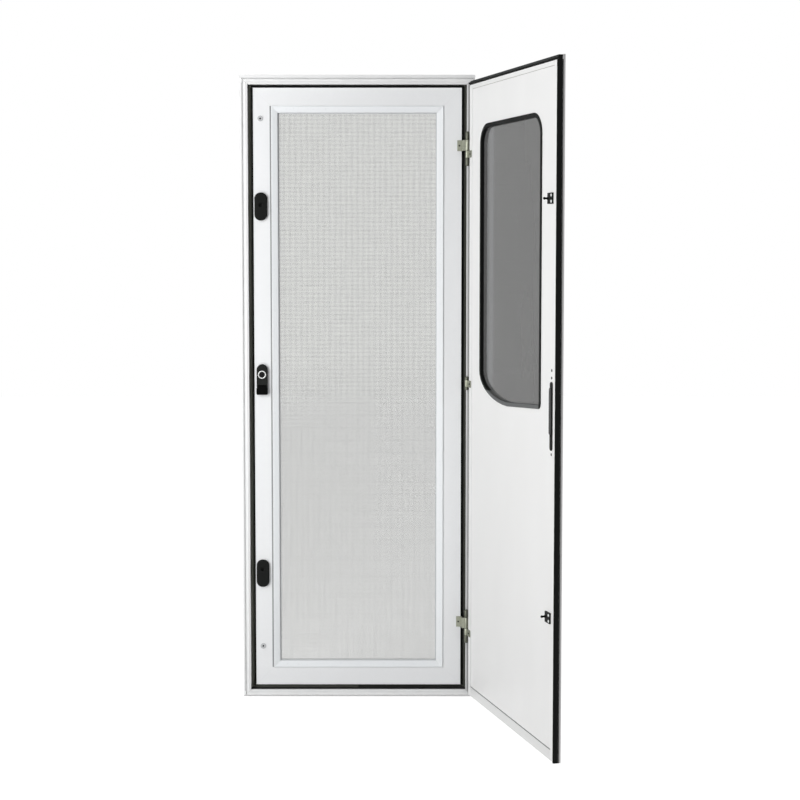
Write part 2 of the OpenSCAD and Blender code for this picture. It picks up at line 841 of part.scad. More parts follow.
module cross_edge(z, width) {
    translate([0, 0, z]) rotate([90, 0, 90]) linear_extrude(panel_x1 - panel_x0) difference() {
        translate([leaf_y0, 0]) square([leaf_t, width]);
        translate([leaf_y0 + profile_wall, profile_wall])
            square([leaf_t - 2 * profile_wall, width - 2 * profile_wall]);
    }
}

module leaf_bottom_edge() {
    color("white") swung() translate([panel_x0, 0, 0]) cross_edge(leaf_zb, bottom_edge_w);
}

// Points of a corner's curve about its centre, from angle a0 over 90 degrees
function corner(c, rx, rz, a0) = [for (i = [0:10]) [c[0] + rx * cos(a0 + 9 * i), c[1] + rz * sin(a0 + 9 * i)]];

// Window outline taken in by an inset, with one long curve at the lower corner near the hinges
module window_outline(inset) {
    x0 = window_x0 + inset;
    x1 = window_x1 - inset;
    z0 = window_zb + inset;
    z1 = window_zt - inset;
    rt = window_top_r - inset;
    rl = window_low_r - inset;
    cw = window_curve_w - inset;
    ch = window_curve_h - inset;
    polygon(concat(
        corner([x1 - rt, z1 - rt], rt, rt, 0),
        corner([x0 + rt, z1 - rt], rt, rt, 90),
        corner([x0 + rl, z0 + rl + window_low_rise], rl, rl, 180),
        corner([x1 - cw, z0 + ch], cw, ch, 270)));
}

module window_ring(outer, inner) {
    difference() {
        window_outline(outer);
        window_outline(inner);
    }
}

// Outline of the leaf's core, with a gap to the profiles except at the free side
module panel_outline(gap) {
    translate([panel_x0, panel_zb + gap]) square([panel_x1 - gap - panel_x0, panel_zt - panel_zb - 2 * gap]);
}

module leaf_outer_skin() {
    color("white") swung() difference() {
        plate_y(skin_y0, leaf_y0) difference() {
            translate([leaf_x0, leaf_zb]) square([leaf_x1 + hinge_rebate - leaf_x0, leaf_zt - leaf_zb]);
            window_outline(hole_inset);
            handle_outline(handle_rim - fit);
        }
        corner_waste();
    }
}

module leaf_core() {
    color([0.9, 0.88, 0.8]) swung() plate_y(leaf_y0, leaf_y1 - skin_t) difference() {
        panel_outline(0);
        window_outline(hole_inset);
        handle_outline(handle_rim - fit);
    }
}

module leaf_inner_skin() {
    color("white") swung() plate_y(leaf_y1 - skin_t, leaf_y1) difference() {
        panel_outline(skin_gap);
        window_outline(hole_inset);
    }
}

// Rubber that fills the rebate, with a round lip towards the surround
module seal_block(w) {
    translate([0, floor_y]) square([w, leaf_y1 - floor_y]);
    translate([w / 2 - seal_lip / 2, leaf_y1]) square([seal_lip, seal_proud - seal_lip / 2]);
    translate([w / 2, leaf_y1 + seal_proud - seal_lip / 2]) circle(d = seal_lip);
}

module leaf_seal() {
    length = box_zt - leaf_zb - fit;
    color([0.08, 0.08, 0.08]) swung() {
        translate([leaf_x0 + seal_inset, 0, leaf_zb]) linear_extrude(length)
            seal_block(rebate_w - seal_inset);
        translate([leaf_x1, 0, leaf_zb]) linear_extrude(length)
            translate([0, floor_y]) square([hinge_rebate, leaf_y1 - floor_y]);
        difference() {
            translate([leaf_x0 + seal_inset, 0, leaf_zt - seal_inset]) rotate([0, 90, 0])
                linear_extrude(leaf_x1 + hinge_rebate - leaf_x0 - seal_inset)
                    seal_block(top_rebate_w - seal_inset);
            corner_waste();
        }
    }
}

module window_glass() {
    color([0.55, 0.55, 0.56]) swung() plate_y(glass_y, glass_y + glass_t) window_outline(hole_inset + fit);
}

// Trims: a flat ring on each skin, with a sleeve that holds the glass
module window_inner_trim() {
    color([0.08, 0.08, 0.08]) swung() {
        plate_y(leaf_y1, leaf_y1 + trim_h) window_ring(0, trim_w);
        plate_y(glass_y + glass_t, leaf_y1) window_ring(hole_inset + fit, trim_w);
    }
}

module window_outer_trim() {
    color([0.08, 0.08, 0.08]) swung() {
        plate_y(skin_y0 - trim_h, skin_y0) window_ring(-outer_trim_over, trim_w);
        plate_y(skin_y0, glass_y) window_ring(hole_inset + fit, trim_w);
    }
}

// Catch block, with a boss and a seat for the pin
module catch_block(z) {
    difference() {
        union() {
            block([block_x1 - block_w, leaf_y1, z - block_l / 2], [block_x1, leaf_y1 + block_h, z + block_l / 2]);
            rod_y(catch_x, z, boss_r, leaf_y1, leaf_y1 + boss_h);
        }
        rod_y(catch_x, z, stem_r, leaf_y1 + pin_seat, leaf_y1 + boss_h + 1);
    }
}

module catch_blocks() {
    color([0.1, 0.1, 0.1]) swung() {
        catch_block(upper_catch_z);
        catch_block(lower_catch_z);
    }
}

module catch_pins() {
    color([0.2, 0.2, 0.2]) swung()
        for (z = [upper_catch_z, lower_catch_z]) {
            rod_y(catch_x, z, stem_r, leaf_y1 + pin_seat, ball_tip_y - ball_r);
            translate([catch_x, ball_tip_y - ball_r, z]) sphere(ball_r);
        }
}

// Long plate with round ends and a slot for the slider's stem
module release_plate() {
    slot_l = slider_l - 2 * stem_inset + release_travel;
    color([0.1, 0.1, 0.1]) swung() difference() {
        plate_y(leaf_y1, leaf_y1 + release_t) translate([release_x, release_z]) stadium(release_w, release_l);
        plate_y(leaf_y1 + slot_floor, leaf_y1 + release_t + 1)
            translate([release_x, slider_z1 - stem_inset - slot_l / 2])
                square([slot_w, slot_l + 2 * fit], center = true);
    }
}

module release_slider() {
    y0 = leaf_y1 + release_t + fit;
    color([0.35, 0.35, 0.35]) swung() {
        plate_y(y0, y0 + slider_t) translate([release_x, slider_z1 - slider_l / 2])
            stadium(release_w - 2 * slider_side, slider_l);
        block([release_x - slot_w / 2 + fit, leaf_y1 + slot_floor + fit, slider_z1 - slider_l + stem_inset],
            [release_x + slot_w / 2 - fit, y0, slider_z1 - stem_inset]);
    }
}

// Tab on the leaf's inner face, joined to its knuckle
module leaf_hinge_tab(z0, z1) {
    face = leaf_y1 - pin_y;
    knuckle(z0, z1, pin_r + pin_clearance)
        block([-leaf_hinge_gap - tab_foot_l, face, 0], [0, face + plate_t, z1 - z0]);
}

module leaf_hinge_tabs() {
    color([0.6, 0.6, 0.56]) swung() {
        for (z = hinges) {
            z0 = z - hinge_h / 2 + frame_knuckle_h;
            leaf_hinge_tab(z0 + knuckle_gap, z0 + leaf_knuckle_h - knuckle_gap);
        }
        leaf_hinge_tab(middle_hinge_z - leaf_knuckle_h / 2 + knuckle_gap,
            middle_hinge_z + leaf_knuckle_h / 2 - knuckle_gap);
    }
}

// Outline of the outer handle's plate taken in by an inset
module handle_outline(inset) {
    translate([handle_x, release_z])
        rounded_rect(handle_w - 2 * inset, handle_h - 2 * inset, handle_r - inset);
}

// Paddle in the mouth of the tub: a plate from a fixed rod to a round finger lip
module handle_paddle() {
    rod_x = handle_x - handle_w / 2 + handle_rim + tub_wall + paddle_in;
    rod_l = handle_h - 2 * handle_rim - tub_wall;
    paddle_l = rod_l - tub_wall - 2 * paddle_end_gap;
    paddle_y = skin_y0 - handle_t + paddle_pin_r;
    translate([rod_x, paddle_y, release_z]) cylinder(r = paddle_pin_r, h = rod_l, center = true);
    block([rod_x, paddle_y - paddle_t / 2, release_z - paddle_l / 2],
        [rod_x + paddle_w, paddle_y + paddle_t / 2, release_z + paddle_l / 2]);
    translate([rod_x + paddle_w, paddle_y, release_z])
        cylinder(r = paddle_pin_r, h = paddle_l, center = true);
}

// Outer handle, flush but for its plate: a tub in the leaf and a paddle across part of its mouth
module outer_handle() {
    color([0.12, 0.12, 0.12]) swung() {
        difference() {
            union() {
                plate_y(skin_y0 - handle_t, skin_y0) handle_outline(0);
                plate_y(skin_y0, tub_y) handle_outline(handle_rim);
            }
            plate_y(skin_y0 - handle_t - 1, tub_y - tub_wall) handle_outline(handle_rim + tub_wall);
        }
        handle_paddle();
    }
}

frame_left_jamb();
frame_right_jamb();
frame_head();
frame_sill();
head_drip_strip();
fixing_covers();
frame_seal();
frame_knuckles();
hinge_pins();
screen_left_stile();
screen_right_stile();
screen_top_rail();
screen_bottom_rail();
screen_bead();
mesh_spline();
screen_mesh();
screen_hinge_plates();
catch_sockets();
lock_body();
lock_ring();
screen_caps();
key_barrel();
lock_lever();
leaf_outer_skin();
leaf_core();
leaf_inner_skin();
leaf_hinge_edge();
leaf_free_edge();
leaf_top_edge();
leaf_bottom_edge();
leaf_seal();
window_glass();
window_inner_trim();
window_outer_trim();
catch_blocks();
catch_pins();
release_plate();
release_slider();
leaf_hinge_tabs();
outer_handle();
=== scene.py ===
import json
import math

import bmesh
import bpy
from mathutils import Matrix, Vector


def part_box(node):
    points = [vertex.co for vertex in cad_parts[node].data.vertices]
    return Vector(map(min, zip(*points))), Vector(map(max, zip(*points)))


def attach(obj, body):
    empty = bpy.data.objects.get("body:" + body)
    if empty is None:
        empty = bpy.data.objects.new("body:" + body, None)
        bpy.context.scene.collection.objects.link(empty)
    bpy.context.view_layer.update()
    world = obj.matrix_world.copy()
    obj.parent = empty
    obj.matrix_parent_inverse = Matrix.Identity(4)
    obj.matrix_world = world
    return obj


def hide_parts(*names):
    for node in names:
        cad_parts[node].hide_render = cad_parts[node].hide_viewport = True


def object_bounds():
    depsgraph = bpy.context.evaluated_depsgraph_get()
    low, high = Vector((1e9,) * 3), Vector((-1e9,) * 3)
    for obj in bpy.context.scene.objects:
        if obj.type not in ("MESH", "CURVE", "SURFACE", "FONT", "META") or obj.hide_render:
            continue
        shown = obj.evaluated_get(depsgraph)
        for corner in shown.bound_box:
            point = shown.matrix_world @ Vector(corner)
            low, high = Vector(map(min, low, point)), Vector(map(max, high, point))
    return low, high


bl_info = {
    "name": "Caravan Entry Door Finishes",
    "version": (1, 0, 0),
    "blender": (4, 5, 0),
    "location": "3D View > Sidebar > Door",
    "description": "Finishes, insect mesh, screws and stage for a caravan entry door",
    "category": "Object",
}

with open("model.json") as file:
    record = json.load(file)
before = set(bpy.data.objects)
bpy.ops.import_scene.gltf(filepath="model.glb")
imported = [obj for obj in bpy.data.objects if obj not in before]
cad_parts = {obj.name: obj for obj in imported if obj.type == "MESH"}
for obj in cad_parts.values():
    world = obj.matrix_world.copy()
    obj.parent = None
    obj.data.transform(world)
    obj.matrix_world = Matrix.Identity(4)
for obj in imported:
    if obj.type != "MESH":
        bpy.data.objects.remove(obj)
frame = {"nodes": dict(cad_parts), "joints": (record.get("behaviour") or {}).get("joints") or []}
cad_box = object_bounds()

MM = 0.001
PLATE = 2.5 * MM
# Height in metres below which the insect mesh's yarn is darkened towards the bottom, as painted shade
YARN_SHADE_TOP = 0.98
HINGE = next(joint for joint in frame["joints"] if joint["name"] == "leaf_hinge")
PIN = Vector(HINGE["pos_m"])

# The leaf is shown at its opening angle, and this matrix puts a point of the shut leaf there
LEAF_ANGLE = math.radians(-HINGE["range_deg"][0])
LEAF_TURN = Matrix.Translation(PIN) @ Matrix.Rotation(LEAF_ANGLE, 4, "Z") @ Matrix.Translation(-PIN)

SURROUND_METAL = ["frame_left_jamb", "frame_right_jamb", "frame_head", "frame_sill"]
SCREEN_METAL = ["screen_left_stile", "screen_right_stile", "screen_top_rail", "screen_bottom_rail"]
LEAF_METAL = ["leaf_hinge_edge", "leaf_top_edge"]


# Shader maths

class Wire:
    """An output of a shader node. A sum on it adds a Math node."""

    def __init__(self, graph, socket):
        self.graph = graph
        self.socket = socket

    def maths(self, operation, *values):
        inputs = dict(enumerate(values))
        return self.graph.node("ShaderNodeMath", {"operation": operation}, inputs)

    def __add__(self, other):
        return self.maths("ADD", self, other)

    __radd__ = __add__

    def __sub__(self, other):
        return self.maths("SUBTRACT", self, other)

    def __rsub__(self, other):
        return self.maths("SUBTRACT", other, self)

    def __mul__(self, other):
        return self.maths("MULTIPLY", self, other)

    __rmul__ = __mul__

    def __lt__(self, other):
        return self.maths("LESS_THAN", self, other)

    def __abs__(self):
        return self.maths("ABSOLUTE", self)

    def larger(self, other):
        return self.maths("MAXIMUM", self, other)

    def smaller(self, other):
        return self.maths("MINIMUM", self, other)


class Graph:
    """A node tree that is built from Python expressions."""

    def __init__(self, tree):
        self.tree = tree

    def node(self, kind, settings=None, inputs=None, output=0):
        """Adds a node: its settings first, then the values or links of its sockets."""
        made = self.tree.nodes.new(kind)
        for name, value in (settings or {}).items():
            setattr(made, name, value)
        for key, value in (inputs or {}).items():
            if isinstance(value, Wire):
                self.tree.links.new(value.socket, made.inputs[key])
            else:
                made.inputs[key].default_value = value
        return Wire(self, made.outputs[output])

    def mixed(self, factor, first, second):
        """A colour between two colours."""
        return self.node("ShaderNodeMix", {"data_type": "RGBA"}, {0: factor, 6: first, 7: second}, 2)

    def place(self):
        """The point in the row frame, in metres."""
        return self.node("ShaderNodeTexCoord", output="Object")

    def stretched(self, place, scale):
        """The point with its three axes scaled."""
        return self.node("ShaderNodeVectorMath", {"operation": "MULTIPLY"}, {0: place, 1: scale})

    def axis(self, place, index):
        """One coordinate of a point."""
        return self.node("ShaderNodeSeparateXYZ", inputs={0: place}, output=index)

    def on_leaf(self, place, index):
        """The point's x or y on the shut leaf, although the leaf is shown open."""
        along = LEAF_TURN.col[index]
        start = PIN[index] - PIN.dot(along.xyz)
        return self.axis(place, 0) * along.x + self.axis(place, 1) * along.y + start

    def waves(self, place, axis, pitch, distortion):
        """Soft bands across an axis, from 0 to 1, one band a pitch."""
        settings = {"wave_type": "BANDS", "bands_direction": axis}
        inputs = {"Vector": place, "Scale": math.tau / (20 * pitch), "Distortion": distortion,
                  "Detail": 2.0, "Detail Scale": 1.5}
        return self.node("ShaderNodeTexWave", settings, inputs, output="Fac")

    def noise(self, place, scale, detail=2.0):
        """Soft noise from 0 to 1, with its scale in waves a metre."""
        inputs = {"Vector": place, "Scale": scale, "Detail": detail}
        return self.node("ShaderNodeTexNoise", inputs=inputs)

    def cells(self, place, scale):
        """Distance to the nearest cell point, with its scale in cells a metre."""
        return self.node("ShaderNodeTexVoronoi", inputs={"Vector": place, "Scale": scale})

    def seen(self):
        """1 for a ray that shows the background: from the camera, off gloss or through glass."""
        camera = self.node("ShaderNodeLightPath", output="Is Camera Ray")
        glossy = self.node("ShaderNodeLightPath", output="Is Glossy Ray")
        through = self.node("ShaderNodeLightPath", output="Is Transmission Ray")
        return camera.larger(glossy).larger(through)


class Finish(Graph):
    """A material with one main shader."""

    def __init__(self, name, colour, roughness, **uniform):
        self.material = bpy.data.materials.new(name)
        self.material.use_nodes = True
        super().__init__(self.material.node_tree)
        self.shader = self.tree.nodes["Principled BSDF"]
        self.material.diffuse_color = (*colour, 1)
        self.colour = (*colour, 1)
        self.shader.inputs["Base Color"].default_value = self.colour
        self.shader.inputs["Roughness"].default_value = roughness
        for socket, value in uniform.items():
            self.shader.inputs[socket.replace("_", " ")].default_value = value

    def shade(self, factor):
        """The finish's own colour, lighter or darker."""
        return (*[min(1.0, part * factor) for part in self.colour[:3]], 1)

    def feed(self, socket, wire):
        """Links a wire to one of the shader's sockets."""
        self.tree.links.new(wire.socket, self.shader.inputs[socket])

    def beyond(self, place, ring):
        """How far a point lies beyond a ring's box, sideways and upwards or downwards."""
        low, high = ring
        across = abs(self.axis(place, 0) - (low.x + high.x) / 2) - (high.x - low.x) / 2
        along = abs(self.axis(place, 2) - (low.z + high.z) / 2) - (high.z - low.z) / 2
        return across, along

    def bump(self, height, depth, strength=1.0):
        """Relief of a given depth in metres."""
        inputs = {"Strength": strength, "Distance": depth, "Height": height}
        self.feed("Normal", self.node("ShaderNodeBump", inputs=inputs))


# Finishes

def powder_coat(name, colour, roughness, ring=None, seam=(0.35 * MM, 0.45), lines=(), slope=0.0,
                painted_shade_mask=None):
    """Powder-coated aluminium: fine orange peel, soft clouds and dust. A ring of profiles has dark
    lines at its mitres, and may have a slope towards its middle. Given bands are painted darker,
    mostly as painted shade, and a mask may paint part of it near black, also as painted shade."""
    finish = Finish(name, colour, roughness)
    place = finish.place()
    clouds = finish.noise(place, 2.2)
    dust = finish.noise(place, 130, 4.0)
    height = finish.noise(place, 1000, 1.0) * (0.04 * MM)
    tone = finish.mixed(clouds * 0.6 + dust * 0.4, finish.shade(0.955), finish.shade(1.03))
    if ring:
        across, along = finish.beyond(place, ring)
        line = abs(across - along) < seam[0]
        tone = finish.mixed(line, tone, finish.shade(seam[1]))
        height = height + across.larger(along) * slope
    # Bands painted darker, most of them as painted shade
    for (low, high), shade in lines:
        across, along = finish.beyond(place, (low, high))
        tone = finish.mixed(across.larger(along) < 0, tone, finish.shade(shade))
    # Painted shade: near black where the given mask marks
    if painted_shade_mask:
        tone = finish.mixed(painted_shade_mask(finish, place), tone, finish.shade(0.03))
    finish.feed("Base Color", tone)
    finish.feed("Roughness", roughness - 0.08 + dust * 0.16)
    finish.bump(height, 1.0)
    return finish


def painted_sheet(name, colour, roughness, foot=None):
    """Thin painted sheet on foam: very slight waves, fine texture and a few dull wiped patches.
    Below the height foot its cut edge is painted dark, as painted shade in the groove beside it."""
    finish = Finish(name, colour, roughness)
    place = finish.place()
    waves = finish.noise(place, 4.0)
    wiped = finish.noise(finish.stretched(place, (9, 9, 2.5)), 1.0, 3.0)
    grain = finish.noise(place, 700, 2.0)
    tone = finish.mixed(wiped, finish.shade(0.965), finish.shade(1.02))
    if foot:
        tone = finish.mixed(finish.axis(place, 2) < foot, tone, finish.shade(0.3))
    finish.feed("Base Color", tone)
    finish.feed("Roughness", roughness - 0.04 + wiped * 0.08)
    finish.bump(waves * 4 + grain * 0.05, 0.15 * MM)
    return finish


def rubber(name, colour, spread=0.3, gloss=0.12, paler=None):
    """Extruded rubber: dull, with grey bloom and fine specks. Part of it may be paler."""
    finish = Finish(name, colour, 0.6, Specular_IOR_Level=gloss)
    place = finish.place()
    bloom = finish.noise(place, 22, 4.0)
    specks = finish.noise(place, 900, 2.0)
    tone = finish.mixed(bloom, finish.shade(1 - spread), finish.shade(1 + spread))
    if paler:
        where, shade = paler
        tone = finish.mixed(where(finish, place), tone, shade)
    finish.feed("Base Color", tone)
    finish.feed("Roughness", 0.48 + bloom * 0.25)
    finish.bump(specks, 0.06 * MM)
    return finish


def moulded(name, colour, roughness, spread=0.2, gloss=0.1, grain_scale=1500):
    """Moulded plastic: fine spark grain and slightly polished patches."""
    finish = Finish(name, colour, roughness, Specular_IOR_Level=gloss)
    place = finish.place()
    worn = finish.noise(place, 45, 3.0)
    grain = finish.cells(place, grain_scale)
    finish.feed("Base Color", finish.mixed(worn, finish.shade(1 - spread), finish.shade(1 + spread)))
    finish.feed("Roughness", roughness - 0.1 + worn * 0.2)
    finish.bump(grain, 0.05 * MM)
    return finish


def plated(name, colour, roughness):
    """Plated metal: dull mottling and drawn lines along the part."""
    finish = Finish(name, colour, roughness, Metallic=1.0)
    place = finish.place()
    mottle = finish.noise(place, 160, 4.0)
    drawn = finish.noise(finish.stretched(place, (2400, 2400, 90)), 1.0)
    finish.feed("Base Color", finish.mixed(mottle, finish.shade(0.75), finish.shade(1.2)))
    finish.feed("Roughness", roughness - 0.12 + mottle * 0.24)
    finish.bump(drawn + mottle, 0.03 * MM)
    return finish


def smoked_acrylic(name, colour):
    """Tinted acrylic glazing, nearly opaque, with very fine wiping marks in its gloss."""
    finish = Finish(name, colour, 0.08, Alpha=0.86, IOR=1.49, Coat_Weight=0.3)
    place = finish.place()
    wiped = finish.noise(finish.stretched(place, (14, 14, 4)), 1.0, 4.0)
    finish.feed("Base Color", finish.mixed(wiped, finish.shade(0.92), finish.shade(1.08)))
    finish.feed("Roughness", 0.05 + wiped * 0.1)
    return finish


def foam(name, colour, unshaded_above):
    """Rigid foam with open cells, seen in the grooves round the inner skin. Below a given height it is
    painted near black, as painted shade in the grooves.
    """
    finish = Finish(name, colour, 0.9)
    place = finish.place()
    cells = finish.cells(place, 700)
    tone = finish.mixed(cells, finish.shade(0.7), finish.shade(1.1))
    groove_shade = finish.axis(place, 2) < unshaded_above
    finish.feed("Base Color", finish.mixed(groove_shade, tone, finish.shade(0.06)))
    finish.bump(cells, 0.4 * MM)
    return finish


def thread(name, colour, axis, pitch, direction, spread):
    """Coated yarn: bands of darker threads, whose shade also drifts from thread to thread. Low down
    it is darkened towards the bottom, as painted shade.
    """
    finish = Finish(name, colour, 0.55)
    place = finish.place()
    bands = finish.waves(place, axis, pitch, 1.2)
    drift = finish.noise(finish.stretched(place, direction), 1.0, 2.0)
    tone = finish.mixed(bands * 0.5 + (drift - 0.5) * 1.2 + 0.25, finish.shade(1 - spread),
                        finish.shade(1 + spread))
    # Painted shade: below a given height the yarn darkens towards the bottom.
    low_shade = (YARN_SHADE_TOP - finish.axis(place, 2)) * 2.5
    finish.feed("Base Color", finish.mixed(low_shade.larger(0).smaller(0.45), tone, finish.shade(0.3)))
    finish.feed("Roughness", 0.45 + drift * 0.2)
    return finish


# Shapes

def upright(left, right, low, high):
    """Corners of an upright strip between two x values."""
    return Vector((left, 0, low.z)), Vector((right, 0, high.z))


def paint(nodes, finish):
    """Gives CAD nodes a finish."""
    for name in nodes:
        for slot in frame["nodes"][name].material_slots:
            slot.material = finish.material


def soften(name, width, segments=2):
    """Rounds a CAD node's edges by modifiers, which leave its mesh as it is."""
    node = frame["nodes"][name]
    weld = node.modifiers.new("weld", "WELD")
    weld.merge_threshold = 0.002 * MM
    flat = node.modifiers.new("flat", "DECIMATE")
    flat.decimate_type = "DISSOLVE"
    flat.angle_limit = math.radians(1)
    bevel = node.modifiers.new("round", "BEVEL")
    bevel.width = width
    bevel.segments = segments
    bevel.limit_method = "ANGLE"
    bevel.angle_limit = math.radians(40)
    bevel.harden_normals = True


def solids_of(name, turn=Matrix.Identity(4)):
    """Low and high corner of each solid of a CAD node, lowest first, after a turn."""
    bm = bmesh.new()
    bm.from_mesh(frame["nodes"][name].data)
    bmesh.ops.remove_doubles(bm, verts=bm.verts, dist=0.002 * MM)
    left = set(bm.verts)
    boxes = []
    while left:
        found = [left.pop()]
        points = []
        while found:
            vert = found.pop()
            points.append(turn @ vert.co)
            near = {edge.other_vert(vert) for edge in vert.link_edges} & left
            left -= near
            found.extend(near)
        low = Vector([min(point[i] for point in points) for i in range(3)])
        high = Vector([max(point[i] for point in points) for i in range(3)])
        boxes.append((low, high))
    bm.free()
    return sorted(boxes, key=lambda box: box[0].z)


def add_piece(name, bm, body, finishes):
    """Makes an object of a mesh. It rides on a body and takes its finish from a slot."""
    bmesh.ops.recalc_face_normals(bm, faces=bm.faces)
    mesh = bpy.data.meshes.new(name)
    bm.to_mesh(mesh)
    bm.free()
    mesh.shade_smooth()
    mesh.set_sharp_from_angle(angle=math.radians(38))
    piece = bpy.data.objects.new(name, mesh)
    bpy.context.scene.collection.objects.link(piece)
    for finish in finishes:
        mesh.materials.append(finish.material)
    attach(piece, body)
    return piece


def facing(point, normal):
    """A matrix with its origin at a point and its +Z along a normal."""
    return Matrix.Translation(point) @ Vector(normal).to_track_quat("Z", "Y").to_matrix().to_4x4()


def add_ring(bm, place, radius, height, sides=24):
    """A ring of points about a place's axis."""
    ring = []
    for i in range(sides):
        angle = math.tau * i / sides
        point = Vector((radius * math.cos(angle), radius * math.sin(angle), height))
        ring.append(bm.verts.new(place @ point))
    return ring


def join_rings(bm, low, high):
    """Faces between two rings of as many points."""
    for i in range(len(low)):
        j = (i + 1) % len(low)
        bm.faces.new((low[i], low[j], high[j], high[i]))


def outline_edges(bm, ring):
    """The closed run of edges through a ring's points."""
    edges = []
    for i in range(len(ring)):
        pair = (ring[i], ring[(i + 1) % len(ring)])
        edges.append(bm.edges.get(pair) or bm.edges.new(pair))
    return edges


def cross_points(width, length):
    """Corners of a cross, once round."""
    quarter = [(length / 2, -width / 2), (length / 2, width / 2), (width / 2, width / 2)]
    points = []
    for turn in range(4):
        c = round(math.cos(turn * math.pi / 2))
        s = round(math.sin(turn * math.pi / 2))
        points += [(c * x - s * y, s * x + c * y) for x, y in quarter]
    return points


def add_screw(bm, place, radius, height):
    """A low domed screw head with a sunk cross, standing on a place's +Z side."""
    rings = [add_ring(bm, place, radius * wide, height * up)
             for wide, up in ((1, -0.15), (1, 0.3), (0.93, 0.65), (0.78, 0.9), (0.66, 1))]
    bm.faces.new(rings[0])
    for low, high in zip(rings, rings[1:]):
        join_rings(bm, low, high)
    corners = cross_points(0.3 * radius, 1.1 * radius)
    rim = [bm.verts.new(place @ Vector((x, y, height))) for x, y in corners]
    floor = [bm.verts.new(place @ Vector((x * 0.8, y * 0.8, 0.3 * height))) for x, y in corners]
    join_rings(bm, floor, rim)
    bm.faces.new(floor)
    edges = outline_edges(bm, rings[-1]) + outline_edges(bm, rim)
    bmesh.ops.triangle_fill(bm, edges=edges, use_beauty=True)


def add_dimple(bm, place, radius, height):
    """A pressed rivet with a hollow in its middle, standing on a place's +Z side."""
    rings = [add_ring(bm, place, radius * wide, height * up, 16)
             for wide, up in ((1, -0.2), (1, 0.6), (0.85, 1), (0.55, 1), (0.45, 0.5), (0.2, 0.3))]
    bm.faces.new(rings[0])
    for low, high in zip(rings, rings[1:]):
        join_rings(bm, low, high)
    bm.faces.new(rings[-1])


# Settings

class DoorColours(bpy.types.PropertyGroup):
    """Colours of the door's finishes."""

    surround: bpy.props.FloatVectorProperty(
        name="Surround", description="Powder coat of the surround", subtype="COLOR",
        default=(0.9, 0.905, 0.905), min=0, max=1)
    screen: bpy.props.FloatVectorProperty(
        name="Screen door", description="Powder coat of the screen door", subtype="COLOR",
        default=(0.895, 0.905, 0.915), min=0, max=1)
    bead: bpy.props.FloatVectorProperty(
        name="Bead", description="Powder coat of the bead round the insect mesh", subtype="COLOR",
        default=(0.92, 0.945, 0.965), min=0, max=1)
    leaf: bpy.props.FloatVectorProperty(
        name="Leaf", description="Paint of the outer leaf", subtype="COLOR",
        default=(0.885, 0.885, 0.88), min=0, max=1)
    rubber: bpy.props.FloatVectorProperty(
        name="Rubber", description="Seals and window trims", subtype="COLOR",
        default=(0.004, 0.0045, 0.004), min=0, max=1)
    # Its full strength is used on the left lip only, where part of the paleness is painted light
    lip: bpy.props.FloatVectorProperty(
        name="Seal lips", description="Paler outer lips of the seals", subtype="COLOR",
        default=(0.15, 0.153, 0.13), min=0, max=1)
    spline: bpy.props.FloatVectorProperty(
        name="Spline", description="Grey cord that holds the insect mesh", subtype="COLOR",
        default=(0.6, 0.61, 0.63), min=0, max=1)
    plastic: bpy.props.FloatVectorProperty(
        name="Black plastic", description="Lock, catches and handles", subtype="COLOR",
        default=(0.006, 0.0065, 0.006), min=0, max=1)
    grip: bpy.props.FloatVectorProperty(
        name="Grip", description="Sliding grip of the release", subtype="COLOR",
        default=(0.06, 0.06, 0.06), min=0, max=1)
    cap: bpy.props.FloatVectorProperty(
        name="Caps", description="Round caps on the lock stile", subtype="COLOR",
        default=(0.55, 0.56, 0.57), min=0, max=1)
    nickel: bpy.props.FloatVectorProperty(
        name="Hinges", description="Dull plating of the hinges", subtype="COLOR",
        default=(0.3, 0.31, 0.25), min=0, max=1)
    steel: bpy.props.FloatVectorProperty(
        name="Lock metal", description="Key barrel and its ring", subtype="COLOR",
        default=(0.72, 0.73, 0.72), min=0, max=1)
    acrylic: bpy.props.FloatVectorProperty(
        name="Window", description="Tint of the acrylic window", subtype="COLOR",
        default=(0.14, 0.14, 0.14), min=0, max=1)
    yarn: bpy.props.FloatVectorProperty(
        name="Insect mesh", description="Yarn of the insect mesh", subtype="COLOR",
        default=(0.355, 0.37, 0.335), min=0, max=1)


class DoorSizes(bpy.types.PropertyGroup):
    """Sizes of what is added to the CAD model."""

    thread_pitch: bpy.props.FloatProperty(
        name="Thread pitch", description="Distance from one thread to the next", unit="LENGTH",
        default=1.5 * MM, min=1 * MM, max=4 * MM, precision=5)
    thread_width: bpy.props.FloatProperty(
        name="Thread width", description="Width of a thread", unit="LENGTH",
        default=0.45 * MM, min=0.2 * MM, max=1 * MM, precision=5)
    hinge_screw: bpy.props.FloatProperty(
        name="Hinge screw", description="Radius of the screws in the hinge plates", unit="LENGTH",
        default=2.4 * MM, min=2 * MM, max=5 * MM, precision=5)
    catch_screw: bpy.props.FloatProperty(
        name="Catch screw", description="Radius of the screws in the catch blocks", unit="LENGTH",
        default=3.6 * MM, min=2 * MM, max=5 * MM, precision=5)
    rivet: bpy.props.FloatProperty(
        name="Rivet", description="Radius of the rivets by the release", unit="LENGTH",
        default=3.5 * MM, min=1 * MM, max=4 * MM, precision=5)


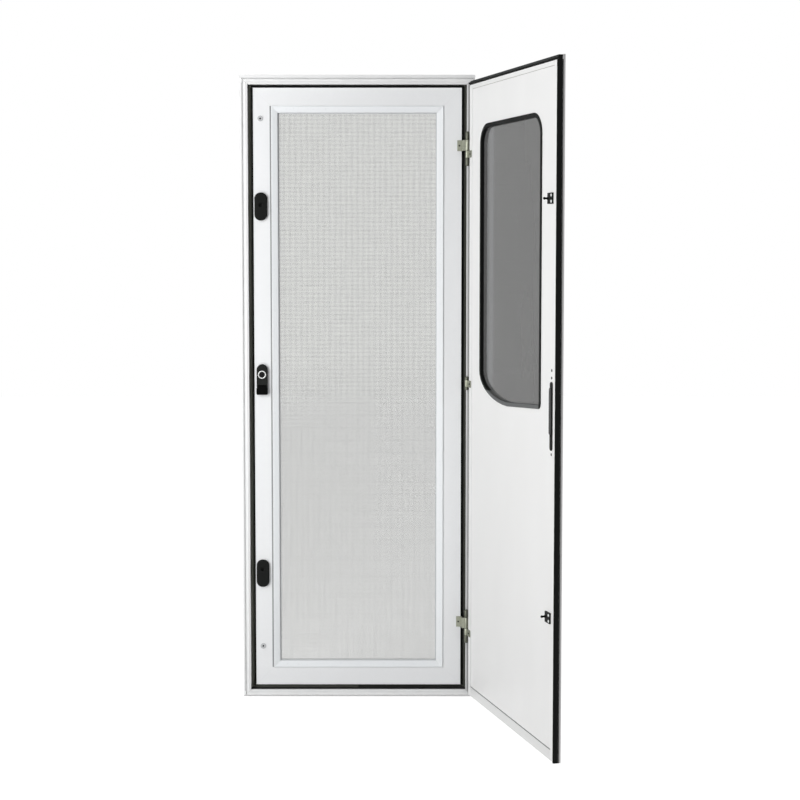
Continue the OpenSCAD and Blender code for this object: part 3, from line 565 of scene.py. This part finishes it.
class DoorStage(bpy.types.PropertyGroup):
    """The camera and the lights."""

    camera_place: bpy.props.FloatVectorProperty(
        name="Camera", description="Place of the camera", subtype="TRANSLATION", unit="LENGTH",
        default=(0.1220, -4.3452, 1.2779))
    camera_tilt: bpy.props.FloatProperty(
        name="Tilt", description="How far the camera looks down", subtype="ANGLE",
        default=math.radians(3.838))
    camera_turn: bpy.props.FloatProperty(
        name="Turn", description="How far the camera turns to the left", subtype="ANGLE",
        default=math.radians(0.022))
    lens: bpy.props.FloatProperty(
        name="Lens", description="Focal length in millimetres for a 36 mm sensor",
        default=68.805, min=20, max=200)
    shift: bpy.props.FloatProperty(
        name="Shift", description="Vertical shift, as a share of the picture", default=-0.06)
    ambient: bpy.props.FloatProperty(
        name="Ambient", description="Strength of the light from all sides", default=0.2, min=0, max=1)
    rear: bpy.props.FloatProperty(
        name="Rear light", description="What the light from the back and the right adds to it",
        default=1.1, min=0, max=2)
    key: bpy.props.FloatProperty(
        name="Key light", description="Power of the soft light at the front left", unit="POWER",
        default=40, min=0)


# Operators

class DOOR_OT_surround(bpy.types.Operator):
    """Finish the surround, its covers and its seal"""

    bl_idname = "caravan_door.surround"
    bl_label = "Surround"

    def execute(self, context):
        colours = context.scene.door_colours
        low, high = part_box("frame_left_jamb")[0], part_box("frame_right_jamb")[1]
        seal_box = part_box("frame_seal")
        seal_foot = seal_box[0].z
        mitre = (0.6 * MM, 0.35)
        foot = low + Vector((0, 0, 18 * MM))
        head = high - Vector((0, 0, 18 * MM))
        # Darker bands painted on the flanges. On the left: a painted shadow line beside the cover channel,
        # and a light grey band. On the right: the seal's lip in painted shade, and a near-black painted
        # shadow in the gap to the leaf.
        lines = [(upright(low.x + 4.2 * MM, low.x + 7 * MM, foot, head), 0.62),
                 (upright(low.x + 17 * MM, low.x + 20 * MM, foot, head), 0.8),
                 (upright(high.x - 20 * MM, high.x - 16.5 * MM, foot, head), 0.65),
                 (upright(high.x - 16.5 * MM, high.x - 12.5 * MM, foot, head), 0.04)]

        # Painted shadow: the ledge at the height of the seal's foot is painted near black inside the seal's
        # width, behind the front 6 mm, deepening the shade below the seal.
        def before_seal(finish, place):
            across, along = finish.beyond(place, seal_box)
            ledge = abs(finish.axis(place, 2) - seal_foot) < 0.3 * MM
            return ledge * (across < 0) * (1 - (finish.axis(place, 1) < low.y + 6 * MM))

        coat = powder_coat("surround_coat", colours.surround, 0.38, (low, high), mitre, lines,
                           painted_shade_mask=before_seal)
        paint(SURROUND_METAL, coat)
        paint(["head_drip_strip"], powder_coat("drip_strip_coat", colours.surround, 0.38))
        cover = moulded("cover_plastic", colours.surround, 0.32, 0.03, 0.5, 900)
        paint(["fixing_covers"], cover)

        # The seal's outer lip is paler, and along the bottom run it is partly paler. The left lip gets the
        # full paler colour as painted light; the right lip gets 35 % of it.
        def outer_lip(finish, place):
            across, along = finish.beyond(place, seal_box)
            bottom = finish.axis(place, 2) < seal_foot + 9 * MM
            painted_light_left = 0.35 + (finish.axis(place, 0) < 0) * 0.65
            return (1 - (across < -8.5 * MM)).larger(bottom * 0.55) * painted_light_left

        paler = (outer_lip, (*colours.lip, 1))
        paint(["frame_seal"], rubber("surround_seal_rubber", colours.rubber, paler=paler))
        return {"FINISHED"}


class DOOR_OT_screen_door(bpy.types.Operator):
    """Finish the screen door's frame, bead, spline and caps"""

    bl_idname = "caravan_door.screen_door"
    bl_label = "Screen door"

    def execute(self, context):
        colours = context.scene.door_colours
        ring = (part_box("screen_left_stile")[0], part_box("screen_right_stile")[1])
        bead_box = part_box("screen_bead")
        faint = (0.3 * MM, 0.9)
        left = bead_box[0].x
        # Painted shadow: a dark line along the bead's left side only, in and beside the groove, as cast by
        # light from the left.
        groove = upright(left - 4.2 * MM, left + 0.4 * MM, *bead_box)
        coat = powder_coat("screen_coat", colours.screen, 0.34, ring, faint, [(groove, 0.35)])
        paint(SCREEN_METAL, coat)
        bead_coat = powder_coat("bead_coat", colours.bead, 0.3, ring, faint, slope=0.25)
        paint(["screen_bead"], bead_coat)
        paint(["mesh_spline"], rubber("spline_rubber", colours.spline, 0.12, 0.4))
        paint(["screen_caps"], moulded("cap_plastic", colours.cap, 0.4, 0.05, 0.4))
        soften("screen_caps", 0.6 * MM)
        bm = bmesh.new()
        for cap_low, cap_high in solids_of("screen_caps"):
            centre = (cap_low + cap_high) / 2
            face = Vector((centre.x, cap_low.y + 0.8 * MM, centre.z))
            add_screw(bm, facing(face, (0, -1, 0)), 2.4 * MM, 1.1 * MM)
        add_piece("cap_screws", bm, "screen_door",
                  [plated("cap_screw_metal", colours.plastic, 0.4)])
        return {"FINISHED"}


class DOOR_OT_insect_mesh(bpy.types.Operator):
    """Weave the insect mesh from upright and level threads"""

    bl_idname = "caravan_door.insect_mesh"
    bl_label = "Insect mesh"

    def execute(self, context):
        colours = context.scene.door_colours
        sizes = context.scene.door_sizes
        low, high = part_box("screen_mesh")
        middle = (low.y + high.y) / 2
        radius = sizes.thread_width / 2
        bm = bmesh.new()
        for axis, other, side in ((0, 2, -1), (2, 0, 1)):
            count = int((high[axis] - low[axis] - 2 * radius) / sizes.thread_pitch)
            start = (low[axis] + high[axis] - count * sizes.thread_pitch) / 2
            for i in range(count + 1):
                centre = start + i * sizes.thread_pitch
                self.add_thread(bm, axis, other, centre, middle + side * 0.8 * radius, low, high, radius)
        yarns = [thread("upright_yarn", colours.yarn, "X", 16 * MM, (300, 0, 12), 0.6),
                 thread("level_yarn", colours.yarn, "Z", 12 * MM, (12, 0, 300), 0.95)]
        weave = add_piece("insect_mesh", bm, "screen_door", yarns)
        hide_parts("screen_mesh")
        return {"FINISHED"}

    def add_thread(self, bm, axis, other, centre, depth, low, high, radius):
        """One thread: a rod with four sides from edge to edge, at its place along an axis."""
        ends = []
        for end in (low[other], high[other]):
            ring = []
            for across, out in ((radius, 0), (0, radius), (-radius, 0), (0, -radius)):
                point = Vector((0, depth + out, 0))
                point[axis] = centre + across
                point[other] = end
                ring.append(bm.verts.new(point))
            ends.append(ring)
        faces = [bm.faces.new(ring) for ring in ends]
        for i in range(4):
            j = (i + 1) % 4
            faces.append(bm.faces.new((ends[0][i], ends[0][j], ends[1][j], ends[1][i])))
        for face in faces:
            face.material_index = axis // 2


class DOOR_OT_hinges(bpy.types.Operator):
    """Finish the hinges and add their screws"""

    bl_idname = "caravan_door.hinges"
    bl_label = "Hinges"

    def execute(self, context):
        colours = context.scene.door_colours
        sizes = context.scene.door_sizes
        nickel = plated("hinge_nickel", colours.nickel, 0.42)
        paint(["screen_hinge_plates", "leaf_hinge_tabs"], nickel)
        dull = plated("knuckle_metal", [part * 0.4 for part in colours.nickel], 0.5)
        paint(["frame_knuckles", "hinge_pins"], dull)
        for name in ("frame_knuckles", "screen_hinge_plates", "leaf_hinge_tabs"):
            soften(name, 0.4 * MM)
        screw_metal = plated("hinge_screw_metal", [part * 0.06 for part in colours.nickel], 0.4)
        plate_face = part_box("screen_left_stile")[0].y - PLATE
        bm = bmesh.new()
        for low, high in solids_of("screen_hinge_plates"):
            face = Vector((low.x + 6 * MM, plate_face, (low.z + high.z) / 2))
            add_screw(bm, facing(face, (0, -1, 0)), sizes.hinge_screw, 1.6 * MM)
        add_piece("hinge_plate_screws", bm, "screen_door", [screw_metal])
        bm = bmesh.new()
        for low, high in solids_of("leaf_hinge_tabs", LEAF_TURN.inverted()):
            face = LEAF_TURN @ Vector((low.x + 7 * MM, leaf_face() + PLATE, (low.z + high.z) / 2))
            add_screw(bm, facing(face, leaf_normal()), sizes.hinge_screw, 1.6 * MM)
        add_piece("hinge_tab_screws", bm, "leaf", [screw_metal])
        return {"FINISHED"}


def leaf_face():
    """Where the shut leaf's inner face lies."""
    return max(high.y for low, high in solids_of("leaf_inner_skin", LEAF_TURN.inverted()))


def leaf_normal():
    """Direction in which the leaf's inner face looks, as shown."""
    return LEAF_TURN.to_3x3() @ Vector((0, 1, 0))


class DOOR_OT_catches(bpy.types.Operator):
    """Finish the catches and add the white screws of their blocks"""

    bl_idname = "caravan_door.catches"
    bl_label = "Catches"

    def execute(self, context):
        colours = context.scene.door_colours
        sizes = context.scene.door_sizes
        paint(["catch_sockets"], moulded("socket_plastic", colours.plastic, 0.34))
        soften("catch_sockets", 1.2 * MM, 3)
        paint(["catch_blocks"], moulded("block_plastic", colours.plastic, 0.45))
        soften("catch_blocks", 0.6 * MM)
        paint(["catch_pins"], moulded("pin_plastic", colours.plastic, 0.25))
        boss = 2 * MM
        bm = bmesh.new()
        for low, high in solids_of("catch_blocks", LEAF_TURN.inverted()):
            middle = (low.z + high.z) / 2
            for side in (-1, 1):
                point = Vector((low.x + 5 * MM, high.y - boss, middle + side * 7.5 * MM))
                add_screw(bm, facing(LEAF_TURN @ point, leaf_normal()), sizes.catch_screw, 1.5 * MM)
        add_piece("catch_screws", bm, "leaf",
                  [moulded("white_screw_cap", colours.surround, 0.4, 0.03)])
        return {"FINISHED"}


class DOOR_OT_lock(bpy.types.Operator):
    """Finish the lock, its barrel and its lever"""

    bl_idname = "caravan_door.lock"
    bl_label = "Lock"

    def execute(self, context):
        colours = context.scene.door_colours
        paint(["lock_body"], moulded("lock_plastic", [part * 2 for part in colours.plastic], 0.4))
        lever = moulded("lever_plastic", [part * 0.4 for part in colours.plastic], 0.5, gloss=0.03)
        paint(["lock_lever"], lever)
        paint(["lock_ring"], plated("ring_metal", colours.steel, 0.26))
        paint(["key_barrel"], plated("barrel_metal", [part * 0.02 for part in colours.steel], 0.4))
        soften("lock_body", 1.2 * MM, 3)
        soften("lock_lever", 1.2 * MM, 3)
        soften("lock_ring", 0.5 * MM)
        return {"FINISHED"}


class DOOR_OT_leaf(bpy.types.Operator):
    """Finish the leaf's skins, edges and seals"""

    bl_idname = "caravan_door.leaf"
    bl_label = "Leaf"

    def execute(self, context):
        colours = context.scene.door_colours
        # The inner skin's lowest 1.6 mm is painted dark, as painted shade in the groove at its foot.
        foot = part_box("leaf_inner_skin")[0].z + 1.6 * MM
        paint(["leaf_inner_skin"], painted_sheet("inner_skin_paint", colours.leaf, 0.42, foot))
        paint(["leaf_outer_skin"], painted_sheet("outer_skin_paint", colours.leaf, 0.3))
        paint(LEAF_METAL, powder_coat("leaf_edge_coat", colours.leaf, 0.36))
        edge_low = solids_of("leaf_free_edge", LEAF_TURN.inverted())[0][0]

        # Painted shade: the free edge's outer face is painted near black beyond 3 mm from the outer skin's
        # side, beside the seal, on a face turned away from the light.
        def beside_seal(finish, place):
            outside = finish.on_leaf(place, 0) < edge_low.x + 0.8 * MM
            return outside * (1 - (finish.on_leaf(place, 1) < edge_low.y + 3 * MM))

        free_coat = powder_coat("leaf_free_coat", colours.leaf, 0.36, painted_shade_mask=beside_seal)
        paint(["leaf_free_edge"], free_coat)
        foot_coat = powder_coat("leaf_foot_coat", [part * 0.9 for part in colours.leaf], 0.36)
        paint(["leaf_bottom_edge"], foot_coat)
        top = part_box("leaf_core")[1].z
        # The foam is painted near black from 60 mm below its top downwards, as painted shade in the grooves.
        paint(["leaf_core"], foam("core_foam", (0.6, 0.6, 0.58), top - 60 * MM))
        seals = solids_of("leaf_seal", LEAF_TURN.inverted())
        free_side = min(low.x for low, high in seals)
        seal_top = max(high.z for low, high in seals)

        def inner_lip(finish, place):
            root = finish.on_leaf(place, 0) < free_side + 4 * MM
            height = finish.axis(place, 2)
            under = (1 - (height < seal_top - 25 * MM)) * (height < seal_top - 6.5 * MM)
            return (1 - root) * (1 - under)

        paler = (inner_lip, (0.017, 0.019, 0.019, 1))
        paint(["leaf_seal"], rubber("leaf_seal_rubber", colours.rubber, paler=paler))
        return {"FINISHED"}


class DOOR_OT_window(bpy.types.Operator):
    """Finish the window and its trims"""

    bl_idname = "caravan_door.window"
    bl_label = "Window"

    def execute(self, context):
        colours = context.scene.door_colours
        paint(["window_glass"], smoked_acrylic("smoked_acrylic", colours.acrylic))
        paint(["window_outer_trim"], rubber("outer_trim_rubber", colours.rubber))
        boxes = solids_of("window_inner_trim", LEAF_TURN.inverted())
        low, high = boxes[0]

        # Painted light: the trim's lower run, which faces upwards, is paler as if lit from above, except near
        # its free-side end.
        def lit_lower_run(finish, place):
            lower_run = finish.axis(place, 2) < low.z + 30 * MM
            upright = finish.on_leaf(place, 0) < low.x + 11 * MM
            return lower_run * (1 - upright)

        paler = (lit_lower_run, (0.13, 0.135, 0.135, 1))
        paint(["window_inner_trim"], rubber("inner_trim_rubber", colours.rubber, paler=paler))
        return {"FINISHED"}


class DOOR_OT_handles(bpy.types.Operator):
    """Finish the release and the outer handle, and add the rivets by the release"""

    bl_idname = "caravan_door.handles"
    bl_label = "Handles"

    def execute(self, context):
        colours = context.scene.door_colours
        sizes = context.scene.door_sizes
        paint(["release_plate"], moulded("release_plastic", colours.plastic, 0.38))
        paint(["release_slider"], moulded("grip_plastic", colours.grip, 0.42))
        paint(["outer_handle"], moulded("handle_plastic", colours.plastic, 0.36, gloss=0.3))
        soften("release_plate", 0.8 * MM)
        soften("release_slider", 1.2 * MM, 3)
        soften("outer_handle", 0.6 * MM)
        low, high = solids_of("release_plate", LEAF_TURN.inverted())[0]
        bm = bmesh.new()
        for height in (high.z + 28 * MM, high.z + 9.5 * MM, low.z - 9.5 * MM):
            point = Vector(((low.x + high.x) / 2, leaf_face(), height))
            add_dimple(bm, facing(LEAF_TURN @ point, leaf_normal()), sizes.rivet, 0.9 * MM)
        add_piece("release_rivets", bm, "leaf",
                  [plated("rivet_metal", [part * 0.1 for part in colours.steel], 0.4)])
        return {"FINISHED"}


class DOOR_OT_stage(bpy.types.Operator):
    """Set the floor, the background, the lights and the camera"""

    bl_idname = "caravan_door.stage"
    bl_label = "Stage"

    def execute(self, context):
        settings = context.scene.door_stage
        self.add_world(context.scene, settings)
        self.add_floor(settings)
        self.add_light("key_light", (-1.4, -1.4, 1.3), (0.1, -0.1, 1.0), (0.9, 2.6), settings.key)
        self.add_camera(context.scene, settings)
        context.scene.view_settings.view_transform = "Standard"
        return {"FINISHED"}

    def add_world(self, scene, settings):
        world = bpy.data.worlds.new("studio")
        world.use_nodes = True
        graph = Graph(world.node_tree)
        background = world.node_tree.nodes["Background"]
        background.inputs["Color"].default_value = (1, 1, 1, 1)
        direction = graph.node("ShaderNodeTexCoord", output="Generated")
        behind = (graph.axis(direction, 0) * 0.6 + graph.axis(direction, 1) * 0.8).larger(0)
        light = settings.ambient + behind * settings.rear
        strength = light + graph.seen() * (1 - light)
        world.node_tree.links.new(strength.socket, background.inputs["Strength"])
        scene.world = world

    def add_floor(self, settings):
        half = 9.0
        under = 0.5 * MM
        height = cad_box[0].z - under
        mesh = bpy.data.meshes.new("floor")
        corners = [(-half, -half, height), (half, -half, height), (half, half, height), (-half, half, height)]
        mesh.from_pydata(corners, [], [(0, 1, 2, 3)])
        floor = bpy.data.objects.new("floor", mesh)
        bpy.context.scene.collection.objects.link(floor)
        pale = 0.62
        lit = settings.ambient + settings.rear * 2 / (3 * math.pi)
        rest = 1.02 - pale * lit
        finish = Finish("pale_floor", (pale, pale, pale), 0.9)
        finish.shader.inputs["Specular IOR Level"].default_value = 0
        finish.shader.inputs["Emission Strength"].default_value = 1
        glow = finish.mixed(finish.seen(), (0, 0, 0, 1), (rest, rest, rest, 1))
        finish.feed("Emission Color", glow)
        mesh.materials.append(finish.material)

    def add_light(self, name, place, aim, size, power):
        """A soft rectangle of light, which the camera doesn't see itself."""
        data = bpy.data.lights.new(name, "AREA")
        data.shape = "RECTANGLE"
        data.size, data.size_y = size
        data.energy = power
        light = bpy.data.objects.new(name, data)
        light.location = place
        light.rotation_euler = (Vector(aim) - light.location).to_track_quat("-Z", "Y").to_euler()
        light.visible_camera = False
        bpy.context.scene.collection.objects.link(light)

    def add_camera(self, scene, settings):
        data = bpy.data.cameras.new("camera")
        data.lens = settings.lens
        data.shift_y = settings.shift
        camera = bpy.data.objects.new("camera", data)
        camera.location = settings.camera_place
        camera.rotation_euler = (math.pi / 2 - settings.camera_tilt, 0, settings.camera_turn)
        scene.collection.objects.link(camera)
        scene.camera = camera


class DOOR_PT_panel(bpy.types.Panel):
    """Lists the door's settings and steps"""

    bl_label = "Caravan door"
    bl_idname = "DOOR_PT_panel"
    bl_space_type = "VIEW_3D"
    bl_region_type = "UI"
    bl_category = "Door"

    def draw(self, context):
        for title, group in (("Colours", "door_colours"), ("Sizes", "door_sizes"), ("Stage", "door_stage")):
            box = self.layout.box()
            box.label(text=title)
            settings = getattr(context.scene, group)
            for name in settings.bl_rna.properties.keys():
                if name not in ("rna_type", "name"):
                    box.prop(settings, name)
        column = self.layout.column()
        for step in STEPS:
            column.operator(step.bl_idname)


GROUPS = {"door_colours": DoorColours, "door_sizes": DoorSizes, "door_stage": DoorStage}
STEPS = [DOOR_OT_surround, DOOR_OT_screen_door, DOOR_OT_insect_mesh, DOOR_OT_hinges, DOOR_OT_catches,
         DOOR_OT_lock, DOOR_OT_leaf, DOOR_OT_window, DOOR_OT_handles, DOOR_OT_stage]


def register():
    for group in GROUPS.values():
        bpy.utils.register_class(group)
    for step in STEPS:
        bpy.utils.register_class(step)
    bpy.utils.register_class(DOOR_PT_panel)
    for name, group in GROUPS.items():
        setattr(bpy.types.Scene, name, bpy.props.PointerProperty(type=group))


def unregister():
    for name in GROUPS:
        delattr(bpy.types.Scene, name)
    bpy.utils.unregister_class(DOOR_PT_panel)
    for step in reversed(STEPS):
        bpy.utils.unregister_class(step)
    for group in GROUPS.values():
        bpy.utils.unregister_class(group)


def main():
    """Registers the add-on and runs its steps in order."""
    register()
    for step in STEPS:
        name = step.bl_idname.split(".")[1]
        getattr(bpy.ops.caravan_door, name)()


if __name__ == "__main__":
    main()
